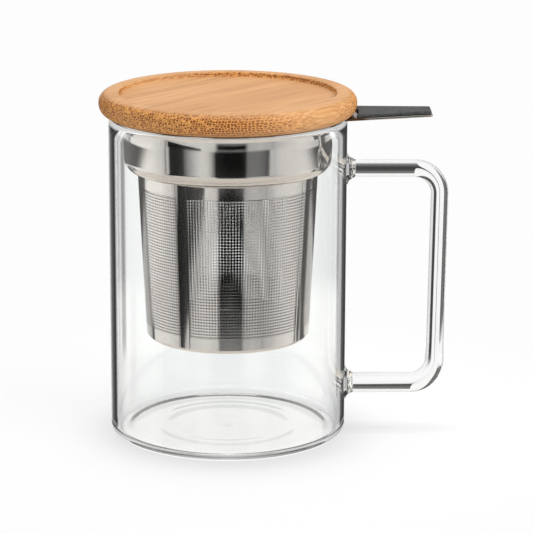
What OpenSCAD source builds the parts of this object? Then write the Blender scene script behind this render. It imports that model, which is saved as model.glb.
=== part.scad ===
// Glass tea mug with a drawn steel infuser and a turned bamboo lid.
// The origin is the middle of the mug's foot, on the table. +Z is up and
// the handle and the infuser's tab point along +X. Millimetres.
//
// Mug:      a straight glass cup with a rounded foot, and a round glass rod
//           bent into a handle, its two ends flared where they are fused on.
// Infuser:  a drawn collar whose flange hangs on the glass rim, a rolled
//           perforated cone with a lap seam, a perforated pan that closes
//           it, and a tab with a moulded grip.
// Lid:      a disc with a shallow dish and a plug, and a seal ring on the plug.

/* [Mug] */
// Outer diameter of the glass
mug_d = 80; // [70:0.5:100]
// Height from the table to the glass rim
mug_h = 108.5; // [100:0.5:140]
// Thickness of the glass wall
glass_t = 2.4; // [1.8:0.1:2.8]
// Thickness of the glass floor above the foot
floor_t = 1.5; // [1.3:0.1:3]
// Radius of the rounded foot outside
foot_round = 3; // [2.4:0.1:4.5]
// Radius of the rounded corner between floor and wall inside
inside_round = 1.6; // [1.2:0.1:3]
// Diameter of the hollow under the foot
punt_d = 64; // [40:1:64]
// Height of the hollow under the foot
punt_h = 0.3; // [0.2:0.1:1]

/* [Handle] */
// Diameter of the handle's glass rod
rod_d = 6.2; // [5:0.1:7.5]
// Clear space for fingers between the glass wall and the handle's leg
finger_gap = 28.2; // [24:0.2:34]
// Drop from the glass rim to the middle of the upper arm
handle_drop = 17.7; // [15:0.1:20]
// Distance between the middles of the two arms
arm_span = 75; // [64:0.5:78]
// Radius of the rod's bends, at its middle
bend_r = 8.6; // [6:0.2:11]
// Diameter of the flared ends on the glass wall
weld_d = 11; // [9:0.2:13]
// Length of the flare from the glass wall
weld_l = 3.4; // [2.4:0.2:4.5]

/* [Infuser collar] */
// Thickness of the collar's and the tab's sheet
collar_t = 0.8; // [0.6:0.05:1]
// Gap between the collar and the inside of the glass, at the top
collar_gap = 2.3; // [1.6:0.1:3]
// Height of the collar from the flange to the start of its shoulder
collar_h = 13.2; // [12:0.2:16]
// How much the collar's radius narrows over its height
collar_draft = 0.5; // [0.2:0.1:0.9]
// Radius of the rounded shoulder under the collar
shoulder_r = 4.5; // [4:0.1:5.5]
// How far the flange stays behind the outside of the glass
flange_inset = 0.3; // [0:0.1:0.8]
// Fillet between the flange and the collar
flange_fillet = 0.9; // [0.4:0.1:1.1]
// Depth of the neck that the basket is welded on
neck_h = 3.2; // [2:0.2:4]

/* [Infuser basket] */
// Thickness of the basket's sheet
sheet_t = 0.5; // [0.4:0.05:0.6]
// Height of the perforated cone
basket_h = 56; // [50:0.2:62]
// How much the basket's radius narrows from top to bottom
basket_taper = 2.7; // [1:0.1:4]
// Width of the holes
hole_d = 2.4; // [1.8:0.1:2.8]
// Distance between the rows and columns of holes
hole_pitch = 4; // [3.6:0.1:5]
// Plain band above the topmost holes
band_top = 4.6; // [3.8:0.2:7]
// Plain band below the lowest holes
band_bottom = 4.8; // [4.6:0.2:8]
// Width of the lap seam
seam_w = 3.4; // [2.4:0.2:5]
// Direction of the lap seam, counted from the handle
seam_angle = 240; // [0:5:355]
// Height of the pan's upright rim inside the cone
pan_h = 3.6; // [2.6:0.2:4.4]
// Radius of the pan's rounded edge
pan_round = 1.3; // [1:0.1:1.8]

/* [Tab and grip] */
// Reach of the tab past the outside of the glass
tab_reach = 28.2; // [22:0.2:34]
// Width of the tab at the flange
tab_w = 19; // [15:0.2:22]
// Width of the tab at its tip
tip_w = 10.2; // [8:0.2:12]
// Radius of the tab's tip corners
tip_round = 1.2; // [1:0.1:3.5]
// Upward slope of the tab, in degrees
tab_rise = 1.3; // [0:0.1:2]
// Height of the grip above the tab
grip_t = 1.1; // [0.8:0.1:1.6]
// How far the grip's edge stays inside the tab's edge
grip_inset = 0.3; // [0.2:0.05:0.6]
// Space between the lid's edge and the grip
grip_gap = 0.3; // [0.2:0.1:1.5]

/* [Lid] */
// How far the lid stands out past the glass
lid_overhang = 3.2; // [2:0.1:5]
// Thickness of the lid at its rim
lid_t = 7.6; // [7.5:0.1:10]
// Radius of the lid's upper edge
lid_round_top = 3.4; // [2.8:0.1:3.5]
// Radius of the lid's lower edge
lid_round_low = 3.9; // [2:0.1:4]
// Width of the rim around the dish
rim_w = 7; // [6:0.2:10]
// Depth of the dish in the lid
dish_depth = 1.6; // [1.2:0.1:2.2]
// Depth of the lid's plug
plug_h = 8; // [7:0.2:9]
// Space between the plug and the collar
plug_gap = 1.5; // [1:0.1:2]
// Chamfer on the plug's lower edge
plug_chamfer = 0.8; // [0.4:0.1:1.2]
// Height of the seal ring
seal_h = 3.6; // [2.8:0.1:4.2]
// Depth of the seal's groove
groove_depth = 1.6; // [1.2:0.1:2.2]

/* [Fits] */
// Space between flat faces that rest on each other
seat_gap = 0.05; // [0.02:0.01:0.1]
// Space between the seal's fins and the collar
seal_gap = 0.3; // [0.2:0.05:0.4]
// Space between sheets that are welded together
weld_gap = 0.05; // [0.02:0.01:0.1]

/* [Hidden] */
$fn = 96;
eps = 0.01;
far = 400;
hole_fn = 24;

// mug
mug_r = mug_d / 2;
bore_r = mug_r - glass_t;
floor_z = floor_t + punt_h;
punt_slope = 3;

// handle
rod_r = rod_d / 2;
arm_top_z = mug_h - handle_drop;
arm_low_z = arm_top_z - arm_span;
leg_x = mug_r + finger_gap + rod_r;
flare_r = (weld_d - rod_d) / 2;

// collar, from the glass rim down
flange_z = mug_h + seat_gap;
flange_top_z = flange_z + collar_t;
flange_r = mug_r - flange_inset;
collar_r = bore_r - collar_gap;
shoulder_top_z = flange_top_z - collar_h - collar_t;
shoulder_top_r = collar_r - collar_draft;
shoulder_mid_r = shoulder_top_r - shoulder_r;
basket_top_z = shoulder_top_z - shoulder_r;

// basket
basket_r = shoulder_mid_r;
basket_low_z = basket_top_z - weld_gap - basket_h;
basket_low_r = basket_r - basket_taper;
neck_r = cone_r(basket_top_z - neck_h) - sheet_t - weld_gap;
rows = floor((basket_h - band_top - band_bottom - hole_d) / hole_pitch) + 1;
first_row_z = basket_low_z + band_bottom + hole_d / 2;
mid_r = (basket_r + basket_low_r) / 2;
seam_half = atan((seam_w / 2 + hole_pitch / 2) / mid_r);
columns = floor((360 - 2 * seam_half) * PI / 180 * mid_r / hole_pitch) + 1;
column_step = (360 - 2 * seam_half) / (columns - 1);
hole_half = asin(hole_d / 2 / mid_r);
lap_t = sheet_t * 0.8;
pan_floor_z = basket_low_z - pan_round;
pan_rim_r = cone_r(basket_low_z) - sheet_t - weld_gap;

// tab and grip
tab_end_x = mug_r + tab_reach;
grip_start_r = mug_r + lid_overhang + grip_gap;

// lid
lid_z = flange_top_z + seat_gap;
lid_r = mug_r + lid_overhang;
dish_r = lid_r - rim_w;
dish_cove = dish_depth * 0.55;
dish_lip = dish_depth - dish_cove;
plug_r = collar_inner_r(lid_z - plug_h) - plug_gap;
groove_r = plug_r - groove_depth;
seal_z = lid_z - plug_h / 2 - seal_h / 2;
seal_r = collar_inner_r(seal_z) - seal_gap;
fin_r = seal_h / 6;

// Outer radius of the basket's cone at a height.
function cone_r(z) = basket_low_r + basket_taper * (z - basket_low_z) / basket_h;

// Inner radius of the collar at a height.
function collar_inner_r(z) =
    shoulder_top_r - collar_t + collar_draft * (z - shoulder_top_z) / collar_h;

// Half section of a solid cup: a rectangle with its lower outer corner rounded.
module cup_section(r, h, corner) {
    translate([0, corner]) square([r, h - corner]);
    square([r - corner, corner + eps]);
    translate([r - corner, corner]) circle(corner);
}

// Half section of the glass cup.
module glass_section() {
    difference() {
        cup_section(mug_r, mug_h - glass_t / 2, foot_round);
        translate([0, floor_z]) cup_section(bore_r, mug_h, inside_round);
        polygon([[0, -1], [punt_d / 2 + punt_slope, -eps], [punt_d / 2, punt_h], [0, punt_h]]);
    }
    translate([mug_r - glass_t / 2, mug_h - glass_t / 2]) circle(d = glass_t);
}

module mug_body() {
    color("lightcyan", 0.35) rotate_extrude() intersection() {
        glass_section();
        square([mug_r, mug_h]);
    }
}

// One flared end of the rod, from inside the wall out along +X.
module fused_end(z) {
    translate([mug_r - glass_t, 0, z]) rotate([0, 90, 0]) rotate_extrude() difference() {
        square([weld_d / 2, glass_t + weld_l]);
        translate([weld_d / 2, glass_t + weld_l]) scale([flare_r / weld_l, 1]) circle(weld_l);
    }
}

// A quarter bend of the rod; turn points its arms back to the mug and to the leg.
module rod_bend(z, turn) {
    translate([leg_x - bend_r, 0, z]) rotate([90, turn, 0])
        rotate_extrude(angle = 90) translate([bend_r, 0]) circle(rod_r);
}

module rod_arm(z) {
    translate([mug_r - glass_t, 0, z]) rotate([0, 90, 0])
        cylinder(r = rod_r, h = leg_x - bend_r - mug_r + glass_t);
}

module mug_handle() {
    color("lightcyan", 0.5) difference() {
        union() {
            rod_arm(arm_top_z);
            rod_arm(arm_low_z);
            rod_bend(arm_top_z - bend_r, 0);
            rod_bend(arm_low_z + bend_r, 90);
            translate([leg_x, 0, arm_low_z + bend_r])
                cylinder(r = rod_r, h = arm_span - 2 * bend_r);
            fused_end(arm_top_z);
            fused_end(arm_low_z);
        }
        cylinder(r = mug_r, h = mug_h);
    }
}

// Half section of the space that the collar fills, drawn in by inset.
module collar_section(inset) {
    top_r = shoulder_top_r + collar_draft * (flange_top_z - shoulder_top_z) / collar_h;
    polygon([[0, shoulder_top_z], [shoulder_top_r - inset, shoulder_top_z],
             [top_r - inset, flange_top_z], [0, flange_top_z]]);
    translate([shoulder_mid_r, shoulder_top_z]) circle(shoulder_r - inset);
    translate([0, basket_top_z + inset])
        square([shoulder_mid_r, shoulder_r - inset + eps]);
}

module infuser_collar() {
    color("silver") rotate_extrude() {
        difference() {
            collar_section(0);
            collar_section(collar_t);
            square([neck_r - collar_t, far]);
            translate([0, flange_top_z - eps]) square([collar_inner_r(flange_top_z), 1]);
        }
        // flange with a rounded edge
        translate([collar_inner_r(flange_z), flange_z])
            square([flange_r - collar_t / 2 - collar_inner_r(flange_z), collar_t]);
        translate([flange_r - collar_t / 2, flange_z + collar_t / 2]) circle(d = collar_t);
        // fillet under the flange
        translate([collar_r - eps, flange_z - flange_fillet]) difference() {
            translate([-collar_t / 2, 0]) square([flange_fillet + collar_t / 2, flange_fillet + eps]);
            translate([flange_fillet, 0]) circle(flange_fillet);
        }
        // neck inside the basket
        translate([neck_r - collar_t, basket_top_z - neck_h])
            square([collar_t, neck_h + collar_t]);
    }
}

// The cone's sheet between two heights, from behind its inside to past its outside.
module cone_ring(low_z, high_z, inside, outside) {
    rotate_extrude() polygon([
        [cone_r(low_z) - inside, low_z], [cone_r(low_z) + outside, low_z],
        [cone_r(high_z) + outside, high_z], [cone_r(high_z) - inside, high_z]]);
}

// A ring of the cone that carries one row of holes, square to the sheet.
module pierced_ring(z) {
    difference() {
        cone_ring(z - hole_pitch / 2, z + hole_pitch / 2, sheet_t, 0);
        for (column = [0 : columns - 1])
            rotate([0, 0, seam_angle + seam_half + column * column_step - hole_half])
                rotate_extrude(angle = 2 * hole_half)
                    translate([cone_r(z) - 2 * sheet_t, z - hole_d / 2])
                        square([3 * sheet_t, hole_d]);
    }
}

// The rolled cone: plain bands, a ring for each row of holes, and the lap seam.
module basket_wall() {
    color("gainsboro") {
        cone_ring(basket_low_z, first_row_z - hole_pitch / 2, sheet_t, 0);
        for (row = [0 : rows - 1])
            pierced_ring(first_row_z + row * hole_pitch);
        cone_ring(first_row_z + (rows - 0.5) * hole_pitch, basket_low_z + basket_h, sheet_t, 0);
        intersection() {
            cone_ring(basket_low_z + eps, basket_low_z + basket_h - eps, sheet_t / 2, lap_t);
            rotate([0, 0, seam_angle]) translate([mid_r / 2, -seam_w / 2, 0])
                cube([mid_r, seam_w, mug_h]);
        }
    }
}

module basket_base() {
    grid = ceil(basket_low_r / hole_pitch);
    reach = basket_low_r - sheet_t - pan_round - hole_d;
    color("gainsboro") difference() {
        rotate_extrude() difference() {
            translate([0, pan_floor_z]) cup_section(pan_rim_r, pan_round + pan_h, pan_round);
            translate([0, pan_floor_z + sheet_t])
                cup_section(pan_rim_r - sheet_t, pan_round + pan_h, pan_round - sheet_t);
        }
        for (i = [-grid : grid], j = [-grid : grid])
            if (norm([i, j]) * hole_pitch < reach)
                translate([i * hole_pitch, j * hole_pitch, pan_floor_z - 1])
                    cylinder(d = hole_d, h = sheet_t + 2, $fn = hole_fn);
    }
}

// Plan of the tab from the mug's axis out, drawn in by inset.
module tab_plan(inset) {
    tip_x = tab_end_x - inset;
    half = tab_w / 2 - inset;
    tip_half = tip_w / 2 - inset;
    round_r = tip_round - inset;
    polygon([[0, -half], [mug_r, -half], [tip_x - round_r, -tip_half - edge_slope() * round_r],
             [tip_x - round_r, -tip_half + round_r], [tip_x, -tip_half + round_r],
             [tip_x, tip_half - round_r], [tip_x - round_r, tip_half - round_r],
             [tip_x - round_r, tip_half + edge_slope() * round_r], [mug_r, half], [0, half]]);
    for (side = [-1, 1])
        translate([tip_x - round_r, side * (tip_half - round_r)]) circle(round_r);
}

// Sideways change of the tab's edge for each millimetre of its length.
function edge_slope() = (tab_w - tip_w) / 2 / tab_reach;

// Puts a piece on the sloping plane of the tab, turned about the flange's edge.
module on_tab(lift) {
    translate([flange_r, 0, flange_z]) rotate([0, -tab_rise, 0]) translate([-flange_r, 0, lift])
        children();
}

module infuser_tab() {
    color("silver") difference() {
        on_tab(0) linear_extrude(collar_t) tab_plan(0);
        cylinder(r = flange_r + weld_gap, h = far);
    }
}

// The grip starts on an arc that follows the lid's edge.
module tab_grip() {
    color([0.1, 0.1, 0.1]) difference() {
        on_tab(collar_t) linear_extrude(grip_t) tab_plan(grip_inset);
        cylinder(r = grip_start_r, h = far);
    }
}

// Half section of the disc with its two rounded edges and the dish.
module disc_section() {
    difference() {
        union() {
            square([lid_r - lid_round_top, lid_t]);
            square([lid_r - lid_round_low, lid_round_low]);
            translate([0, lid_round_low]) square([lid_r, lid_t - lid_round_top - lid_round_low]);
            translate([lid_r - lid_round_low, lid_round_low]) circle(lid_round_low);
            translate([lid_r - lid_round_top, lid_t - lid_round_top]) circle(lid_round_top);
        }
        // dish with a cove at its floor and a rounded lip
        translate([0, lid_t - dish_depth]) cup_section(dish_r, dish_depth + 1, dish_cove);
        translate([dish_r - eps, lid_t - dish_lip]) difference() {
            square([dish_lip + eps, dish_lip + 1]);
            translate([dish_lip + eps, 0]) circle(dish_lip);
        }
    }
}

// Half section of the plug with its groove and its chamfer.
module plug_section() {
    difference() {
        translate([0, -plug_h]) square([plug_r, plug_h + eps]);
        translate([groove_r, seal_z - lid_z - weld_gap]) square([plug_r, seal_h + 2 * weld_gap]);
        polygon([[plug_r - plug_chamfer, -plug_h - eps], [plug_r + eps, -plug_h - eps],
                 [plug_r + eps, -plug_h + plug_chamfer]]);
    }
}

module lid_disc() {
    color("peru") translate([0, 0, lid_z]) rotate_extrude() intersection() {
        union() {
            disc_section();
            plug_section();
        }
        translate([0, -plug_h]) square([lid_r, plug_h + lid_t]);
    }
}

// The seal: a band in the groove, with a fin at its top and its bottom.
module lid_seal() {
    color("white") rotate_extrude() {
        translate([groove_r + weld_gap, seal_z]) square([groove_depth, seal_h]);
        for (z = [fin_r, seal_h - fin_r])
            translate([groove_r + groove_depth, seal_z + z - fin_r])
                square([seal_r - fin_r - groove_r - groove_depth, 2 * fin_r]);
        for (z = [fin_r, seal_h - fin_r])
            translate([seal_r - fin_r, seal_z + z]) circle(fin_r);
    }
}

mug_body();
mug_handle();
infuser_collar();
basket_wall();
basket_base();
infuser_tab();
tab_grip();
lid_disc();
lid_seal();
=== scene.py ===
# %% [markdown]
# # A glass tea mug with a steel infuser and a bamboo lid
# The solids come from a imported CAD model, and this lesson dresses them. Glass and
# polished steel show every facet, so the pieces are worked out again as fine
# surfaces with numpy, at exactly the CAD's sizes, and each gets a finish made of
# shader nodes. A shape is either an outline turned about the mug's axis, a circle
# carried along a path, or a sheet with a grid of holes.

import bmesh
import bpy
import numpy as np
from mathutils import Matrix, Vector
from mathutils.geometry import tessellate_polygon


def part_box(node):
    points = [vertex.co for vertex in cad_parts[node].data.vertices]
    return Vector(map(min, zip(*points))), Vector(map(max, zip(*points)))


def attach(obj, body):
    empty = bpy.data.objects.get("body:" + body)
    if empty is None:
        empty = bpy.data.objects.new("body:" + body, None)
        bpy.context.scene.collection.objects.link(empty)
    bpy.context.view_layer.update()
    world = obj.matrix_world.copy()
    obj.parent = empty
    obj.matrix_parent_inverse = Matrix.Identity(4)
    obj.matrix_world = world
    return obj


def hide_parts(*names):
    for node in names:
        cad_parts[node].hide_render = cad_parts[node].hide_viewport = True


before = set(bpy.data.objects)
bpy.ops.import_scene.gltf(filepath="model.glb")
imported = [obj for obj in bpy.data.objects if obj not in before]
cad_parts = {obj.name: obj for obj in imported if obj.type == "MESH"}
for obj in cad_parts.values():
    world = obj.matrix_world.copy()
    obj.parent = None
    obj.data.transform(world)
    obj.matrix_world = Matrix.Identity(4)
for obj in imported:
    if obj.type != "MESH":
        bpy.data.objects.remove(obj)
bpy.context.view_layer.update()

# %% [markdown]
# ## Sizes
# Each CAD node's mesh from model.glb gives its box, and from the boxes come the
# heights and the radii that the pieces share. Sizes are written in millimetres, as on a
# drawing, and turned to metres only when a mesh is made. What a box can't tell, such as
# the thickness of a wall, is named here once.

# %% Read the driving sizes from the CAD nodes' boxes
MM = 0.001


def low(node):
    """Lowest corner of a CAD node, in millimetres."""
    return np.array(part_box(node)[0]) / MM


def high(node):
    """Highest corner of a CAD node, in millimetres."""
    return np.array(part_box(node)[1]) / MM


mug_r = high("mug_body")[0]
mug_h = high("mug_body")[2]
lid_r = high("lid_disc")[0]
lid_top = high("lid_disc")[2]
plug_low = low("lid_disc")[2]
flange_r = high("infuser_collar")[0]
flange_top = high("infuser_collar")[2]
neck_low = low("infuser_collar")[2]
cone_top = high("basket_wall")[2]
cone_low = low("basket_wall")[2]
pan_low = low("basket_base")[2]
pan_r = high("basket_base")[0]
tab_tip = high("infuser_tab")[0]
leg_out = high("mug_handle")[0]
print(f"mug {2 * mug_r:.1f} x {mug_h:.1f} mm, lid {2 * lid_r:.1f} mm, basket to {pan_low:.1f} mm")

# %% [markdown]
# ## Turning an outline into a surface
# A cup, a collar and a lid are all made on a lathe or a spinning mandrel, so one
# function serves them: it takes an outline as radius and height and turns it about
# the mug's axis. An outline is straight stretches and arcs put one after another.

# %% Outline and mesh helpers
SHARP_ANGLE = 40


def arc(centre_r, centre_z, radius, start, stop, steps=12):
    """Points on a circle: centre + radius (cos a, sin a), a from start to stop in degrees."""
    a = np.radians(np.linspace(start, stop, steps))
    return np.stack([centre_r + radius * np.cos(a), centre_z + radius * np.sin(a)], 1)


def outline(*stretches):
    """Joins points and arcs into one outline and drops points that repeat."""
    points = np.concatenate([np.atleast_2d(np.asarray(s, float)) for s in stretches])
    apart = np.linalg.norm(np.diff(points, axis=0), axis=1) > 1e-6
    return points[np.concatenate([[True], apart])]


def subdivided(points, longest):
    """The outline with every straight stretch cut to pieces no longer than longest."""
    parts = []
    for start, stop in zip(points[:-1], points[1:]):
        count = max(1, int(np.ceil(np.linalg.norm(stop - start) / longest)))
        parts.append(start + (stop - start) * np.arange(count)[:, None] / count)
    return np.concatenate(parts + [points[-1:]])


def grid_faces(rows, columns, wrap_rows, wrap_columns):
    """Quads of a grid of rows x columns points; a wrapped side joins its end to its start."""
    i, j = np.meshgrid(
        np.arange(rows if wrap_rows else rows - 1), np.arange(columns if wrap_columns else columns - 1),
        indexing="ij")
    i2, j2 = (i + 1) % rows, (j + 1) % columns
    corners = [i * columns + j, i * columns + j2, i2 * columns + j2, i2 * columns + j]
    return np.stack(corners, -1).reshape(-1, 4)


def signed_volume(points, faces):
    """Six times the volume that the faces enclose: the sum of a . (b x c) over triangles."""
    a, b, c = (points[faces[:, k]] for k in (0, 1, 2))
    total = np.einsum("ij,ij->", a, np.cross(b, c))
    if faces.shape[1] == 4:
        d = points[faces[:, 3]]
        total += np.einsum("ij,ij->", a, np.cross(c, d))
    return total


def make_piece(name, surface, material, weld=True):
    """Puts a surface, points in millimetres and faces, into a mesh object at the origin.

    The faces are turned to point outwards, poles and seams are welded, and edges
    sharper than SHARP_ANGLE stay sharp under smooth shading.
    """
    points, faces = surface
    points = np.asarray(points, float) * MM
    if signed_volume(points, faces) < 0:
        faces = faces[:, ::-1]
    mesh = bpy.data.meshes.new(name)
    mesh.vertices.add(len(points))
    mesh.vertices.foreach_set("co", points.astype(np.float32).ravel())
    mesh.loops.add(faces.size)
    mesh.loops.foreach_set("vertex_index", faces.astype(np.int32).ravel())
    mesh.polygons.add(len(faces))
    mesh.polygons.foreach_set("loop_start", np.arange(len(faces), dtype=np.int32) * faces.shape[1])
    mesh.update(calc_edges=True)
    if weld:
        welded = bmesh.new()
        welded.from_mesh(mesh)
        bmesh.ops.remove_doubles(welded, verts=welded.verts, dist=1e-7)
        bmesh.ops.dissolve_degenerate(welded, edges=welded.edges, dist=1e-8)
        welded.to_mesh(mesh)
        welded.free()
    mesh.validate()
    mesh.shade_smooth()
    mesh.set_sharp_from_angle(angle=np.radians(SHARP_ANGLE))
    mesh.materials.append(material)
    piece = bpy.data.objects.new(name, mesh)
    bpy.context.scene.collection.objects.link(piece)
    print(f"{name}: {len(mesh.vertices)} points, {len(mesh.polygons)} faces")
    return piece


def revolved(points, steps=240):
    """Turns an outline (radius, height) about Z: (r cos a, r sin a, z) on a grid.

    An outline that ends away from the axis is closed on itself; one that starts
    and ends on the axis closes at its poles.
    """
    angle = np.linspace(0, 2 * np.pi, steps, endpoint=False)
    r, z = points[:, :1], points[:, 1:]
    grid = np.stack([r * np.cos(angle), r * np.sin(angle), z + 0 * angle], -1)
    on_axis = points[0, 0] < 1e-6 and points[-1, 0] < 1e-6
    return grid.reshape(-1, 3), grid_faces(len(points), steps, not on_axis, True)


# %% [markdown]
# ## Nodes for the finishes
# A finish is a Principled shader whose colour, roughness and bump come from noise
# and wave textures in object coordinates, so the pattern sits in the material like
# real grain. Fine lines turn up on the steel, the glass and the grip at different
# scales, so they are one node group with its own inputs.

# %% Node helpers
def fill(tree, socket, value):
    """Gives a socket a number, a vector, a colour (r, g, b) or another node's output."""
    if isinstance(value, bpy.types.NodeSocket):
        tree.links.new(value, socket)
    elif socket.type == "RGBA":
        socket.default_value = (*value, 1)
    else:
        socket.default_value = value


def add_node(tree, kind, inputs=None, **settings):
    """One node of the given kind, with its settings and what fills its sockets."""
    node = tree.nodes.new("ShaderNode" + kind)
    for name, value in settings.items():
        setattr(node, name, value)
    for name, value in (inputs or {}).items():
        fill(tree, node.inputs[name], value)
    return node


class Finish:
    """A material under construction, with its tree, its shader and its coordinates."""

    def __init__(self, name):
        self.material = bpy.data.materials.new(name)
        self.material.use_nodes = True
        self.tree = self.material.node_tree
        self.shader = self.tree.nodes["Principled BSDF"]
        self.place = self.add("TexCoord").outputs

    def add(self, kind, inputs=None, **settings):
        return add_node(self.tree, kind, inputs, **settings)

    def set(self, **values):
        """Fills the shader's own sockets, with underscores for spaces in their names."""
        for name, value in values.items():
            fill(self.tree, self.shader.inputs[name.replace("_", " ")], value)

    def show(self, shader):
        """Makes this shader node the material's surface."""
        fill(self.tree, self.tree.nodes["Material Output"].inputs["Surface"], shader.outputs[0])


def new_group(name, inputs, outputs):
    """An empty shader node group: its tree, what goes in and what comes out."""
    group = bpy.data.node_groups.new(name, "ShaderNodeTree")
    for label, kind, value in inputs:
        socket = group.interface.new_socket(label, in_out="INPUT", socket_type="NodeSocket" + kind)
        if value is not None:
            socket.default_value = value
    for label in outputs:
        group.interface.new_socket(label, in_out="OUTPUT", socket_type="NodeSocketFloat")
    given, result = group.nodes.new("NodeGroupInput"), group.nodes.new("NodeGroupOutput")
    return group, given.outputs, result.inputs


def math_node(tree, operation, *values):
    """The result of a Math node; each value is a socket or a number."""
    return add_node(tree, "Math", dict(enumerate(values)), operation=operation).outputs[0]


def times(tree, first, *others):
    """The product of several values."""
    for other in others:
        first = math_node(tree, "MULTIPLY", first, other)
    return first


def above(tree, value, limit):
    return math_node(tree, "GREATER_THAN", value, limit)


def below(tree, value, limit):
    return math_node(tree, "LESS_THAN", value, limit)


def ranged(tree, value, start, stop, first=0.0, last=1.0, steps="LINEAR"):
    """Maps start..stop to first..last, and holds the ends beyond."""
    return add_node(tree, "MapRange", {
        "Value": value, "From Min": start, "From Max": stop, "To Min": first, "To Max": last,
    }, interpolation_type=steps).outputs[0]


def smooth(tree, value, start, stop, first=0.0, last=1.0):
    """A soft step from first at start to last at stop."""
    return ranged(tree, value, start, stop, first, last, "SMOOTHSTEP")


def ramp(tree, value, stops, interpolation="LINEAR"):
    """A colour ramp over a value: stops are (position, (r, g, b))."""
    node = add_node(tree, "ValToRGB", {0: value})
    node.color_ramp.interpolation = interpolation
    band = node.color_ramp.elements
    while len(band) < len(stops):
        band.new(0.5)
    for element, (place, colour) in zip(band, stops):
        element.position = place
        element.color = (*colour, 1)
    return node.outputs[0]


def mixed(tree, factor, first, second, blend="MIX"):
    """A colour Mix node; factor and the colours are sockets, or plain values."""
    return add_node(
        tree, "Mix", {0: factor, 6: first, 7: second}, data_type="RGBA", blend_type=blend).outputs[2]


def grey(level):
    return (level, level, level)


# %% [markdown]
# ### Drawn lines
# Steel that was drawn or spun keeps very fine parallel lines, and drawn glass has
# faint waves along its length. Both are noise stretched along one direction: the
# Mapping node's scale is small along the lines and large across them.

# %% The group of drawn lines
def drawn_lines():
    """Noise stretched by Scale: outputs a 0..1 mask of lines and a broad, soft tone."""
    group, given, result = new_group(
        "drawn_lines",
        [("Vector", "Vector", None), ("Scale", "Vector", (1, 1, 1)), ("Patch Size", "Float", 60.0)],
        ["Lines", "Tone"])
    stretch = add_node(group, "VectorMath", {0: given["Vector"], 1: given["Scale"]}, operation="MULTIPLY")
    lines = add_node(group, "TexNoise", {
        "Vector": stretch.outputs[0], "Scale": 1.0, "Detail": 3.0, "Roughness": 0.65})
    tone = add_node(group, "TexNoise", {
        "Vector": given["Vector"], "Scale": given["Patch Size"], "Detail": 2.0})
    fill(group, result["Lines"], lines.outputs["Fac"])
    fill(group, result["Tone"], tone.outputs["Fac"])
    return group


lines_group = drawn_lines()
print("group:", lines_group.name)


def lined(finish, scale, patch=60.0):
    """The outputs of the drawn_lines group in a finish, on object coordinates."""
    group = finish.add("Group", node_tree=lines_group)
    for name, value in (("Vector", finish.place["Object"]), ("Scale", scale), ("Patch Size", patch)):
        fill(finish.tree, group.inputs[name], value)
    return group.outputs


def bumped(finish, height, strength, distance):
    """Feeds a height to a Bump node and that to the shader's normal."""
    bump = finish.add("Bump", {"Strength": strength, "Distance": distance, "Height": height})
    finish.set(Normal=bump.outputs["Normal"])


# %% [markdown]
# ### Glass
# Clear glass is a Principled shader with full transmission. Its look comes from
# the shape: a wall of even thickness bends light hard only at its edges. Lamps
# have to shine through it, or the mug would throw the shadow of a solid, so for
# shadow rays the material is plain transparent. Light caught in the rim runs down
# inside the wall; after three turns it is let out the same way.

# %% Glass finishes
CAUGHT = 2.5


def glass(name, tint, wave_scale, wave):
    finish = Finish(name)
    finish.set(Base_Color=tint, Roughness=0.0, IOR=1.47, Transmission_Weight=1.0)
    bumped(finish, lined(finish, wave_scale)["Lines"], wave, 0.0002)
    path = finish.add("LightPath").outputs
    clear = finish.add("BsdfTransparent", {"Color": (0.93, 0.94, 0.94)})
    passed = math_node(
        finish.tree, "MAXIMUM", path["Is Shadow Ray"], above(finish.tree, path["Glossy Depth"], CAUGHT))
    finish.show(finish.add("MixShader", {0: passed, 1: finish.shader.outputs[0], 2: clear.outputs[0]}))
    return finish.material


clear_glass = glass("clear_glass", (0.985, 0.995, 0.99), (110, 110, 14), 0.012)
rod_glass = glass("clear_glass_rod", (0.975, 0.985, 0.975), (60, 260, 60), 0.05)
print("glass:", clear_glass.name, rod_glass.name)

# %% [markdown]
# ### Steel
# The collar and the tab are bright drawn stainless: a metal with low roughness
# and lines so fine that they only soften the reflections. The perforated sheet is
# the same metal, a little duller from etching.

# %% Steel finishes
BRIGHT = (0.66, 0.645, 0.63)
# from where to where along X the tab's root, under the lid's edge, carries a painted reflection of the
# bamboo lid, in metres
LID_REFLECTION_ZONE = (0.0445, 0.0475)


def steel(name, colour, roughness, line_scale, depth, lid_reflection=None):
    """Drawn steel; a painted reflection of the bamboo lid fades out between two places along X."""
    finish = Finish(name)
    tree = finish.tree
    lines = lined(finish, line_scale, 45.0)
    tone = ramp(tree, lines["Tone"], [(0.3, tuple(0.93 * c for c in colour)), (0.7, colour)])
    if lid_reflection:
        x = finish.add("SeparateXYZ", {0: finish.place["Object"]}).outputs["X"]
        # painted reflection: the bamboo lid mirrored in the tab's root, as an orange-brown base colour
        tone = mixed(tree, smooth(tree, x, *lid_reflection), (0.2, 0.115, 0.06), tone)
    finish.set(Metallic=1.0, Base_Color=tone, Roughness=ranged(tree, lines["Lines"], 0, 1, *roughness))
    bumped(finish, lines["Lines"], 0.1, depth)
    return finish.material


collar_steel = steel("bright_steel", BRIGHT, (0.02, 0.07), (300, 300, 9000), 0.0000015)
tab_steel = steel("tab_steel", (0.5, 0.48, 0.455), (0.12, 0.25), (250, 9000, 9000), 0.000004, LID_REFLECTION_ZONE)
sheet_steel = steel("perforated_steel", BRIGHT, (0.02, 0.07), (2500, 2500, 600), 0.000002)
print("steel:", collar_steel.name, tab_steel.name, sheet_steel.name)

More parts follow.
